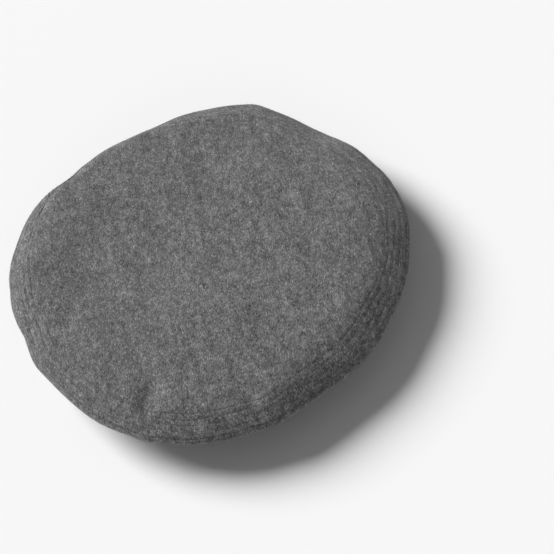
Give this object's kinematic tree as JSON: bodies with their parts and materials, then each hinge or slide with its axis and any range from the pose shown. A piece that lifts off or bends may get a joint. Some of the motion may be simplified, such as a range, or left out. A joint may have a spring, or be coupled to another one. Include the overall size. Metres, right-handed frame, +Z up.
{
  "type": "pakol hat",
  "caption": "Soft round woollen cap with a flat topstitched crown, a thick rolled band and a satin lining, resting on its band.",
  "frame": {"origin": "on the floor, under the middle of the crown's outline seen from above", "axes": "+Z up, out of the crown's top; +Y away from the viewer of the picture, and +X to the viewer's right"},
  "size_m": [0.2692, 0.2735, 0.038],
  "materials": {
    "crown_wool": "milled charcoal-grey wool with a mottled nap, stitched in rings round its border",
    "band_wool": "the same milled charcoal-grey wool, rolled up and creased",
    "lining_satin": "light grey satin with a soft sheen and slack pleats"
  },
  "bodies": {
    "root": {"crown": "crown_wool", "rolled_band": "band_wool", "lining": "lining_satin"}
  },
  "joints": []
}
